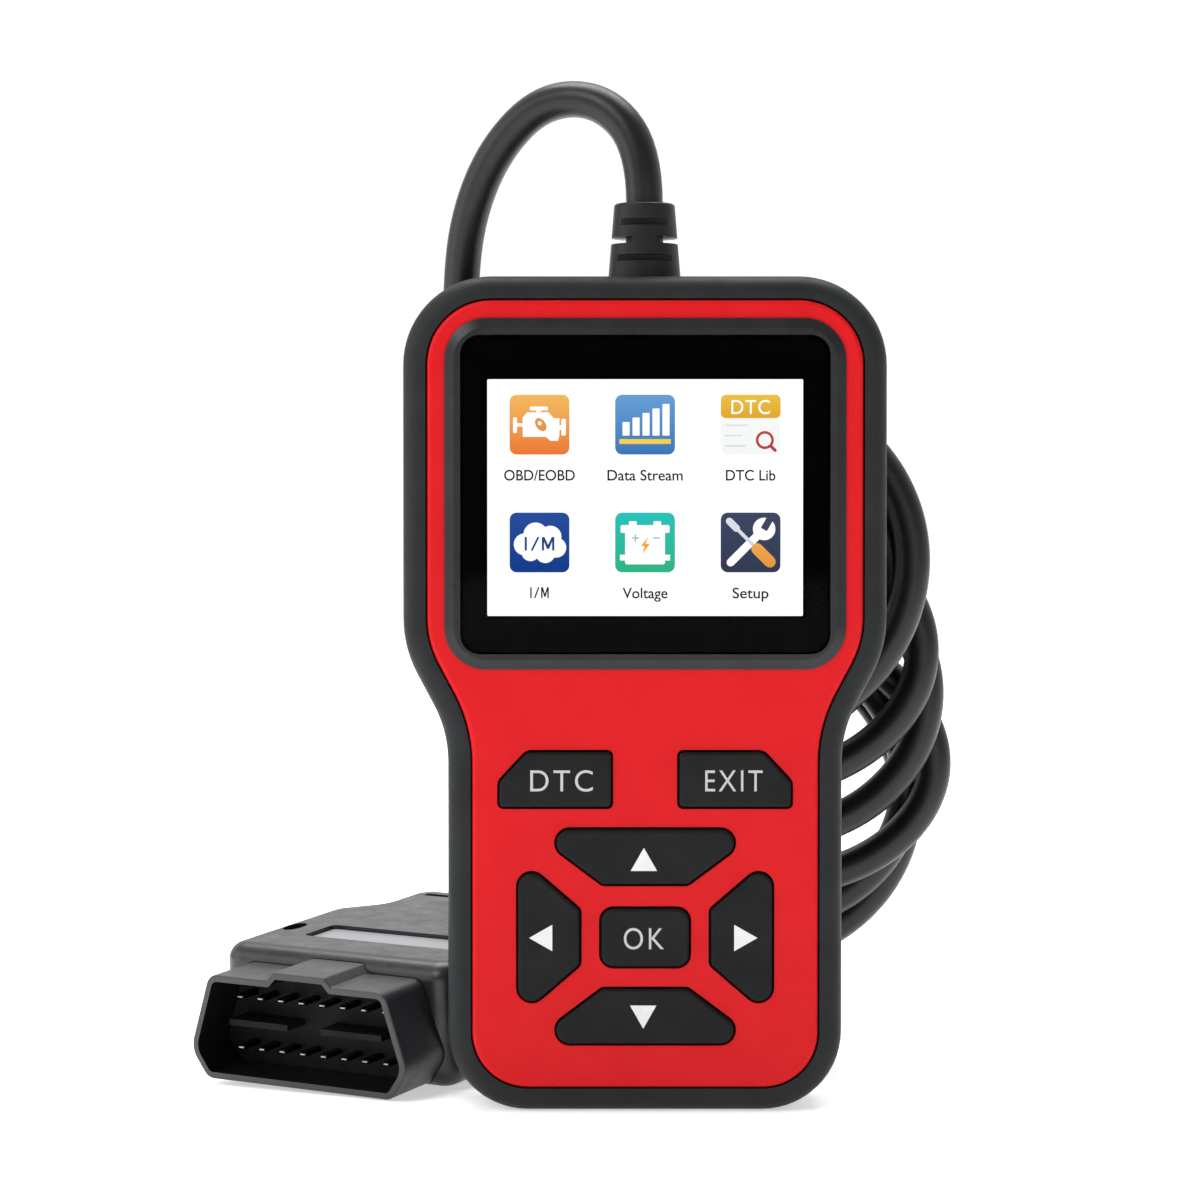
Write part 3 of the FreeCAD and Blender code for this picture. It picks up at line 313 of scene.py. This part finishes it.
# each loose turn where it passes the right-hand side: depth, centre x, centre z, half width, half height
TURNS = [
    (23.6, 14.9, 85.0, 29.0, 28.1),
    (28.4, 15.0, 80.6, 25.8, 26.0),
    (33.0, 17.2, 69.0, 29.1, 23.3),
    (37.6, 18.6, 62.0, 28.9, 25.6),
    (42.4, 21.3, 50.1, 28.0, 21.6),
    (46.8, 18.0, 47.0, 27.0, 24.6),
    (51.2, 15.8, 43.1, 29.5, 27.5),
]
TURN_POINTS = 16
START_DEGREES = 212.0
END_DEGREES = 2685.0


def coil_point(degrees):
    """Centreline of the coil. Turn n passes its right-hand side at 360 n degrees."""
    position = degrees / 360 - 1
    low = min(max(int(math.floor(position)), 0), len(TURNS) - 2)
    share = position - low
    y, cx, cz, half_width, half_height = [a + (b - a) * share for a, b in zip(TURNS[low], TURNS[low + 1])]
    if not 0 <= share <= 1:
        cx, cz, half_width, half_height = TURNS[low if share < 0 else low + 1][1:]
    outward = 1 / math.cos(math.pi / TURN_POINTS) ** 2
    angle = math.radians(degrees)
    return (cx + half_width * outward * math.cos(angle), y, cz + half_height * outward * math.sin(angle))


def coil_points():
    count = int((END_DEGREES - START_DEGREES) / 360 * TURN_POINTS)
    step = (END_DEGREES - START_DEGREES) / count
    return [coil_point(START_DEGREES + i * step) for i in range(count + 1)]


def add_cable():
    route = ARCH_ROUTE + coil_points() + TAIL_ROUTE
    data = bpy.data.curves.new("cable", "CURVE")
    data.dimensions = "3D"
    data.bevel_depth = CABLE_DIAMETER / 2 * MM
    data.bevel_resolution = 7
    data.use_fill_caps = True
    data.resolution_u = 8
    spline = data.splines.new("NURBS")
    spline.points.add(len(route) - 1)
    for point, (x, y, z) in zip(spline.points, route):
        point.co = (*mm(x, y, z), 1.0)
    spline.order_u = 3
    spline.use_endpoint_u = True
    cable = bpy.data.objects.new("cable", data)
    bpy.context.scene.collection.objects.link(cable)
    data.materials.append(MATERIALS["cable_pvc"])
    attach(cable, "root")
    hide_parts("cable_arch", "cable_coil", "cable_tail")


add_camera()
dress_nodes()
add_cable()


INK_THICK = 0.03
LABEL_Y = 10.5
CAPITAL_SHARE = 0.73


# ---- flat drawn pieces ------------------------------------------------------------------------
def rounded(x0, x1, z0, z1, radius, steps=6):
    points = []
    for cx, cz, first in ((x1 - radius, z0 + radius, -90), (x1 - radius, z1 - radius, 0),
                          (x0 + radius, z1 - radius, 90), (x0 + radius, z0 + radius, 180)):
        for i in range(steps + 1):
            angle = math.radians(first + 90 * i / steps)
            points.append((cx + radius * math.cos(angle), cz + radius * math.sin(angle)))
    return points


def disc(cx, cz, radius_x, radius_z=None, steps=28):
    radius_z = radius_x if radius_z is None else radius_z
    turn = 2 * math.pi / steps
    return [(cx + radius_x * math.cos(i * turn), cz + radius_z * math.sin(i * turn)) for i in range(steps)]


def stroke(x0, z0, x1, z1, width, steps=6):
    """Thick line with round ends."""
    angle = math.atan2(z1 - z0, x1 - x0)
    points = []
    for cx, cz, first in ((x1, z1, angle - math.pi / 2), (x0, z0, angle + math.pi / 2)):
        for i in range(steps + 1):
            a = first + math.pi * i / steps
            points.append((cx + width / 2 * math.cos(a), cz + width / 2 * math.sin(a)))
    return points


def turned(points, centre, degrees):
    angle = math.radians(degrees)
    c, s = math.cos(angle), math.sin(angle)
    return [(centre[0] + (x - centre[0]) * c - (z - centre[1]) * s,
             centre[1] + (x - centre[0]) * s + (z - centre[1]) * c) for x, z in points]


def ring(cx, cz, radius, width, steps=28):
    """Open ring drawn as short four-sided pieces."""
    pieces = []
    for i in range(steps):
        a, b = 2 * math.pi * i / steps, 2 * math.pi * (i + 1) / steps
        pieces.append([(cx + r * math.cos(t), cz + r * math.sin(t))
                       for r, t in ((radius - width / 2, a), (radius + width / 2, a),
                                    (radius + width / 2, b), (radius - width / 2, b))])
    return pieces


def printed(name, outlines, y, material, body="root", thick=0.03):
    """Thin solid shapes facing -Y, from outlines in X and Z, in mm. y is their back."""
    mesh = bpy.data.meshes.new(name)
    build = bmesh.new()
    for outline in outlines:
        back = [build.verts.new(mm(x, y, z)) for x, z in outline]
        front = [build.verts.new(mm(x, y - thick, z)) for x, z in outline]
        build.faces.new(front)
        build.faces.new(list(reversed(back)))
        for i in range(len(outline)):
            j = (i + 1) % len(outline)
            build.faces.new((front[j], front[i], back[i], back[j]))
    bmesh.ops.recalc_face_normals(build, faces=build.faces)
    build.to_mesh(mesh)
    build.free()
    piece = bpy.data.objects.new(name, mesh)
    bpy.context.scene.collection.objects.link(piece)
    mesh.materials.append(material)
    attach(piece, body)
    return piece


def lettered(name, words, height, width, x, z, y, material, body="root", heavy=0.0,
             spacing=1.0):
    """A word centred on x and z, as a thin solid facing -Y. height is that of its capitals, in mm."""
    data = bpy.data.curves.new(name, "FONT")
    data.body = words
    data.align_x = "CENTER"
    data.size = 1 / CAPITAL_SHARE
    data.space_character = spacing
    data.offset = heavy
    data.extrude = 0.1
    draft = bpy.data.objects.new(name + "_draft", data)
    mesh = bpy.data.meshes.new_from_object(draft)
    bpy.data.objects.remove(draft)
    mesh.name = name
    across = [vertex.co.x for vertex in mesh.vertices]
    middle = (min(across) + max(across)) / 2
    stretch = width * MM / (max(across) - min(across))
    for vertex in mesh.vertices:
        u, v, w = vertex.co
        depth = y - INK_THICK if w > 0 else y
        vertex.co = mm(x, depth, z + (v - 0.5) * height) + Vector(((u - middle) * stretch, 0, 0))
    build = bmesh.new()
    build.from_mesh(mesh)
    bmesh.ops.remove_doubles(build, verts=build.verts, dist=1e-7)
    bmesh.ops.recalc_face_normals(build, faces=build.faces)
    build.to_mesh(mesh)
    build.free()
    mesh.materials.clear()
    mesh.materials.append(material)
    piece = bpy.data.objects.new(name, mesh)
    bpy.context.scene.collection.objects.link(piece)
    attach(piece, body)
    return piece


# ---- key legends ------------------------------------------------------------------------------
KEY_FACE = -10.5
LEGEND_HEIGHT = 3.5
ARROW_HALF = 2.05
ARROW_DEEP = 3.6
# key, word, width, centre x, centre z
WORD_LEGENDS = [
    ("key_dtc", "DTC", 9.7, -12.95, 50.9),
    ("key_exit", "EXIT", 8.9, 13.75, 50.9),
    ("key_ok", "OK", 6.2, -0.2, 26.4),
]
# key, centre x, centre z, turn in degrees
ARROW_LEGENDS = [
    ("key_up", -0.2, 38.6, 0),
    ("key_down", -0.3, 14.1, 180),
    ("key_left", -16.2, 26.4, 90),
    ("key_right", 15.6, 26.4, -90),
]


def arrow(cx, cz, degrees):
    """Triangle that points up before it is turned."""
    low, high = cz - ARROW_DEEP / 2, cz + ARROW_DEEP / 2
    return turned([(cx - ARROW_HALF, low), (cx + ARROW_HALF, low), (cx, high)], (cx, cz), degrees)


def add_legends():
    for key, words, width, x, z in WORD_LEGENDS:
        lettered("legend_" + key, words, LEGEND_HEIGHT, width, x, z, KEY_FACE, LEGEND, key,
                 heavy=-0.004, spacing=1.2)
    for key, x, z, degrees in ARROW_LEGENDS:
        printed("legend_" + key, [arrow(x, z, degrees)], KEY_FACE, ARROW_INK, key)


# ---- screen image -----------------------------------------------------------------------------
SCREEN_Y = -7.72
STEP = 0.04
SHAPE_STEP = 0.004
TILE_HALF = 4.65
TILE_RADIUS = 1.1
COLUMNS = (-16.4, 0.0, 16.4)
ROWS = (106.0, 87.7)
CAPTION_DROP = 7.8
CAPTION_HEIGHT = 1.72
CAPTION_WEIGHT = 0.24
WHITE = glow("screen_white", linear(255, 255, 252), linear(255, 255, 255), 70, 120, 1.15)
INK = glow("screen_ink", linear(24, 26, 30), linear(30, 32, 38), 70, 120)
ICON_WHITE = glow("icon_white", linear(250, 250, 250), linear(255, 255, 255), 80, 112, 1.1)


def tile(name, cx, cz, low_colour, high_colour):
    material = glow(name, low_colour, high_colour, cz - TILE_HALF, cz + TILE_HALF)
    outline = rounded(cx - TILE_HALF, cx + TILE_HALF, cz - TILE_HALF, cz + TILE_HALF, TILE_RADIUS)
    printed(name, [outline], SCREEN_Y - STEP, material)


def add_engine(cx, cz):
    tile("tile_engine", cx, cz, linear(240, 120, 52), linear(246, 188, 96))
    y = SCREEN_Y - 2 * STEP
    block = [(-2.6, -1.9), (1.0, -1.9), (1.7, -2.5), (2.9, -2.5), (3.1, -1.6), (3.1, 1.0), (2.2, 1.0),
             (1.4, 1.9), (-1.9, 1.9), (-2.6, 1.1)]
    parts = [[(cx + x, cz + z) for x, z in block]]
    parts.append(rounded(cx - 1.5, cx + 1.3, cz + 2.2, cz + 2.8, 0.2))
    parts.append(rounded(cx - 0.5, cx + 0.2, cz + 1.6, cz + 2.4, 0.05))
    parts.append(rounded(cx - 4.1, cx - 3.5, cz - 1.3, cz + 1.1, 0.15))
    parts.append(rounded(cx - 3.8, cx - 2.4, cz - 0.3, cz + 0.2, 0.05))
    parts.append(rounded(cx + 3.4, cx + 4.1, cz - 1.7, cz + 0.9, 0.2))
    parts.append(rounded(cx + 2.9, cx + 3.6, cz - 0.8, cz - 0.1, 0.05))
    printed("icon_engine", parts, y, ICON_WHITE)
    orange = glow("icon_amber", linear(238, 140, 60), linear(240, 160, 80), cz - 2, cz + 2)
    drop = turned(disc(cx + 0.2, cz, 0.75, 1.15), (cx + 0.2, cz), 35)
    printed("icon_engine_drop", [drop], y - STEP, orange)
    printed("icon_engine_eye", [disc(cx + 0.05, cz + 0.2, 0.3)], y - 2 * STEP, ICON_WHITE)


def add_bars(cx, cz):
    tile("tile_bars", cx, cz, linear(62, 118, 186), linear(104, 160, 216))
    y = SCREEN_Y - 2 * STEP
    bars = []
    for i in range(5):
        left = cx - 3.5 + i * 1.55
        bars.append(rounded(left, left + 1.1, cz - 1.7, cz + 0.4 + i * 0.7, 0.1))
    printed("icon_bars", bars, y, ICON_WHITE)
    yellow = glow("icon_yellow", linear(246, 208, 70), linear(250, 218, 90), cz - 4, cz)
    printed("icon_bars_base", [rounded(cx - 4.0, cx + 4.0, cz - 3.0, cz - 2.25, 0.1)], y, yellow)


def add_library(cx, cz):
    tile("tile_library", cx, cz, linear(250, 250, 250), linear(253, 253, 253))
    y = SCREEN_Y - 2 * STEP
    amber = glow("band_amber", linear(228, 160, 36), linear(240, 196, 70), cz, cz + TILE_HALF)
    outline = rounded(cx - TILE_HALF, cx + TILE_HALF, cz + 1.0, cz + TILE_HALF, 0.8)
    printed("icon_library_band", [outline], y, amber)
    lettered("icon_library_word", "DTC", 2.3, 6.0, cx, cz + 2.8, y - STEP, ICON_WHITE, spacing=1.1)
    grey = glow("icon_grey", linear(222, 222, 224), linear(230, 230, 232), cz - 4, cz)
    lines = [stroke(cx - 3.9, cz + level, cx + end, cz + level, 0.25)
             for level, end in ((-0.1, -0.5), (-1.7, -1.5), (-3.3, -0.9))]
    printed("icon_library_lines", lines, y, grey)
    red = glow("icon_red", linear(180, 62, 62), linear(196, 70, 66), cz - 4, cz)
    printed("icon_library_glass", ring(cx + 2.2, cz - 2.4, 1.2, 0.42), y, red)
    printed("icon_library_handle", [stroke(cx + 3.15, cz - 3.35, cx + 3.8, cz - 4.0, 0.5)], y, red)


def im_outlines(cx, cz, width, height, weight):
    """Outlines of I/M, centred on cx and cz."""
    left, right = cx - width / 2, cx + width / 2
    low, high = cz - height / 2, cz + height / 2
    m_left = right - width * 0.42
    middle = (m_left + right) / 2
    capital_m = [(m_left, low), (m_left + weight, low), (m_left + weight, high - height * 0.34),
                 (middle - weight / 2, low + height * 0.12), (middle + weight / 2, low + height * 0.12),
                 (right - weight, high - height * 0.34), (right - weight, low), (right, low), (right, high),
                 (right - weight * 1.2, high), (middle, low + height * 0.42), (m_left + weight * 1.2, high),
                 (m_left, high)]
    slash = [(left + width * 0.2, low), (left + width * 0.2 + weight, low), (m_left - width * 0.08, high),
             (m_left - width * 0.08 - weight, high)]
    capital_i = [(left, low), (left + weight, low), (left + weight, high), (left, high)]
    return [capital_i, slash, capital_m]


def add_cloud(cx, cz):
    tile("tile_cloud", cx, cz, linear(18, 58, 140), linear(38, 78, 158))
    y = SCREEN_Y - 2 * STEP
    puffs = [disc(cx - 2.3, cz - 0.3, 1.7), disc(cx - 0.6, cz + 1.2, 1.9), disc(cx + 1.7, cz + 0.9, 1.7),
             disc(cx + 2.6, cz - 0.8, 1.55), disc(cx - 1.4, cz - 1.5, 1.4), disc(cx + 0.9, cz - 1.7, 1.5),
             rounded(cx - 2.6, cx + 2.6, cz - 1.9, cz + 1.2, 0.8)]
    for i, puff in enumerate(puffs):
        printed("icon_cloud_%d" % i, [puff], y - i * SHAPE_STEP, ICON_WHITE)
    navy = glow("icon_navy", linear(26, 60, 132), linear(30, 66, 140), cz - 3, cz + 3)
    printed("icon_cloud_word", im_outlines(cx, cz - 0.2, 4.6, 2.1, 0.34), y - 2 * STEP, navy)


def add_battery(cx, cz):
    tile("tile_battery", cx, cz, linear(48, 182, 130), linear(40, 196, 190))
    y = SCREEN_Y - 2 * STEP
    box, lid = (-3.1, 3.1, -3.4, 1.7, 0.3), (-3.8, 3.8, 1.5, 2.7, 0.2)
    poles = [(-2.5, -1.3, 2.6, 3.3, 0.15), (1.3, 2.5, 2.6, 3.3, 0.15)]
    feet = [(-3.9, -2.6, -2.8, -1.9, 0.1), (2.6, 3.9, -2.8, -1.9, 0.1)]
    shapes = [box, lid] + poles + feet
    parts = [rounded(cx + x0, cx + x1, cz + z0, cz + z1, radius) for x0, x1, z0, z1, radius in shapes]
    for i, part in enumerate(parts):
        printed("icon_battery_%d" % i, [part], y - i * SHAPE_STEP, ICON_WHITE)
    grey = glow("battery_grey", linear(150, 176, 172), linear(160, 186, 182), cz - 3, cz + 3)
    signs = [stroke(cx - 2.0, cz + 0.7, cx - 1.0, cz + 0.7, 0.2),
             stroke(cx - 1.5, cz + 0.2, cx - 1.5, cz + 1.2, 0.2),
             stroke(cx + 1.3, cz + 0.7, cx + 2.2, cz + 0.7, 0.2)]
    for i, sign in enumerate(signs):
        printed("icon_battery_sign_%d" % i, [sign], y - STEP - i * SHAPE_STEP, grey)
    bolt_shape = [(0.5, 0.9), (-0.65, -0.55), (-0.05, -0.55), (-0.4, -1.8), (0.75, -0.2), (0.1, -0.2)]
    amber = glow("bolt_amber", linear(244, 160, 40), linear(250, 180, 60), cz - 3, cz + 2)
    printed("icon_battery_bolt", [[(cx + x, cz + z) for x, z in bolt_shape]], y - STEP, amber)


def add_tools(cx, cz):
    tile("tile_tools", cx, cz, linear(50, 58, 82), linear(62, 72, 98))
    y = SCREEN_Y - 2 * STEP
    dark = glow("tool_shadow", linear(58, 68, 94), linear(62, 72, 98), cz - 4, cz + 4)
    head_x, head_z = cx + 2.1, cz + 2.1
    wrench = [stroke(cx - 3.1, cz - 3.1, cx + 1.6, cz + 1.6, 1.25), disc(head_x, head_z, 1.75)]
    for i, part in enumerate(wrench):
        printed("icon_wrench_%d" % i, [part], y - i * SHAPE_STEP, ICON_WHITE)
    jaw = rounded(head_x - 0.55, head_x + 0.55, head_z - 0.1, head_z + 2.2, 0.1)
    printed("icon_wrench_jaw", [turned(jaw, (head_x, head_z), -30)], y - STEP, dark)
    silver = glow("icon_silver", linear(206, 214, 226), linear(226, 230, 236), cz - 4, cz + 4)
    blade = [stroke(cx - 2.6, cz + 2.6, cx + 0.8, cz - 0.8, 0.55),
             stroke(cx - 3.3, cz + 3.3, cx - 2.2, cz + 2.2, 1.1)]
    for i, part in enumerate(blade):
        printed("icon_driver_%d" % i, [part], y - 2 * STEP - i * SHAPE_STEP, silver)
    amber = glow("handle_amber", linear(232, 150, 62), linear(244, 172, 84), cz - 4, cz)
    handle = stroke(cx + 1.0, cz - 1.0, cx + 3.0, cz - 3.0, 1.8)
    printed("icon_driver_handle", [handle], y - 3 * STEP, amber)


def add_screen():
    printed("screen_ground", [rounded(-25.6, 25.6, 75.2, 114.1, 0.1)], SCREEN_Y, WHITE)
    icons = [add_engine, add_bars, add_library, add_cloud, add_battery, add_tools]
    captions = [("OBD/EOBD", 11.0), ("Data Stream", 11.7), ("DTC Lib", 7.7),
                ("I/M", 2.9), ("Voltage", 7.0), ("Setup", 5.6)]
    for i, (icon, (words, width)) in enumerate(zip(icons, captions)):
        cx, cz = COLUMNS[i % 3], ROWS[i // 3]
        icon(cx, cz)
        name = "caption_%d" % (i + 1)
        if words == "I/M":
            outlines = im_outlines(cx, cz - CAPTION_DROP, width, CAPTION_HEIGHT, CAPTION_WEIGHT)
            printed(name, outlines, SCREEN_Y - STEP, INK)
        else:
            lettered(name, words, CAPTION_HEIGHT, width, cx, cz - CAPTION_DROP, SCREEN_Y - STEP, INK,
                     heavy=0.016)


def add_rear_print():
    """Frame, heading band and rules on the rear label, with nothing to read."""
    ink = surface("label_ink", linear(70, 72, 76), 0.5, grain=0.1, grain_size=0.2, mottle=0.1)
    rules = [rounded(-20.2, 20.2, z, z + 0.35, 0.15) for z in (79.8, 84.2, 88.6, 93.0)]
    sides = [rounded(x, x + 0.35, 75.6, 104.4, 0.15) for x in (-21.0, 20.65)]
    ends = [rounded(-21.0, 21.0, z, z + 0.35, 0.15) for z in (75.1, 104.55)]
    band = rounded(-20.2, 20.2, 97.4, 103.7, 0.6)
    printed("rear_label_print", rules + sides + ends + [band], LABEL_Y + INK_THICK, ink)


# ---- floor and light ----------------------------------------------------------------------------
FLOOR_HALF = 6.0
FLOOR_DROP = 0.0001


def add_floor():
    mesh = bpy.data.meshes.new("floor")
    corners = [(x * FLOOR_HALF, y * FLOOR_HALF, 0) for x, y in ((-1, -1), (1, -1), (1, 1), (-1, 1))]
    mesh.from_pydata(corners, [], [(0, 1, 2, 3)])
    floor = bpy.data.objects.new("floor", mesh)
    bpy.context.scene.collection.objects.link(floor)
    floor.location.z = -FLOOR_DROP
    paper = surface("floor_paper", (0.93, 0.93, 0.93), 0.85, mottle=0.004, mottle_size=400, specular=0.1)
    shader = paper.node_tree.nodes["Principled BSDF"]
    shader.inputs["Emission Color"].default_value = (1, 1, 1, 1)
    shader.inputs["Emission Strength"].default_value = 0.5
    mesh.materials.append(paper)


def add_light(name, place, aim, size, watts):
    data = bpy.data.lights.new(name, "AREA")
    data.shape = "RECTANGLE"
    data.size, data.size_y = size
    data.energy = watts
    lamp = bpy.data.objects.new(name, data)
    bpy.context.scene.collection.objects.link(lamp)
    lamp.location = place
    lamp.rotation_euler = (Vector(aim) - Vector(place)).to_track_quat("-Z", "Y").to_euler()


def add_world():
    """White behind the object and dim behind the camera, so that dark surfaces stay dark."""
    world = bpy.data.worlds.new("world")
    world.use_nodes = True
    tree = world.node_tree
    where = tree.nodes.new("ShaderNodeTexCoord")
    split = tree.nodes.new("ShaderNodeSeparateXYZ")
    ramp = tree.nodes.new("ShaderNodeMapRange")
    ramp.inputs["From Min"].default_value = -0.5
    ramp.inputs["From Max"].default_value = 0.4
    ramp.inputs["To Min"].default_value = DIM_SIDE
    ramp.inputs["To Max"].default_value = BRIGHT_SIDE
    tree.links.new(where.outputs["Generated"], split.inputs["Vector"])
    tree.links.new(split.outputs["Y"], ramp.inputs["Value"])
    tree.links.new(ramp.outputs["Result"], tree.nodes["Background"].inputs["Strength"])
    tree.nodes["Background"].inputs["Color"].default_value = (1, 1, 1, 1)
    bpy.context.scene.world = world


# name, place, aim, size, all in metres, and watts
LIGHTS = [
    ("key_light", (-0.75, -0.85, 0.95), (0, 0, 0.06), (0.6, 0.6), 7.0),
    ("side_light", (-1.3, -0.25, 0.45), (0, 0, 0.09), (0.9, 0.9), 5.0),
    ("fill_light", (0.3, -0.8, 0.08), (-0.04, 0, 0.01), (0.3, 0.3), 0.35),
    ("top_light", (0.0, 0.35, 1.3), (0, 0.05, 0), (1.2, 0.8), 20),
]


def add_lights():
    for light in LIGHTS:
        add_light(*light)


add_legends()
add_screen()
add_rear_print()
add_floor()
add_world()
add_lights()
bpy.context.scene.view_settings.view_transform = "Standard"
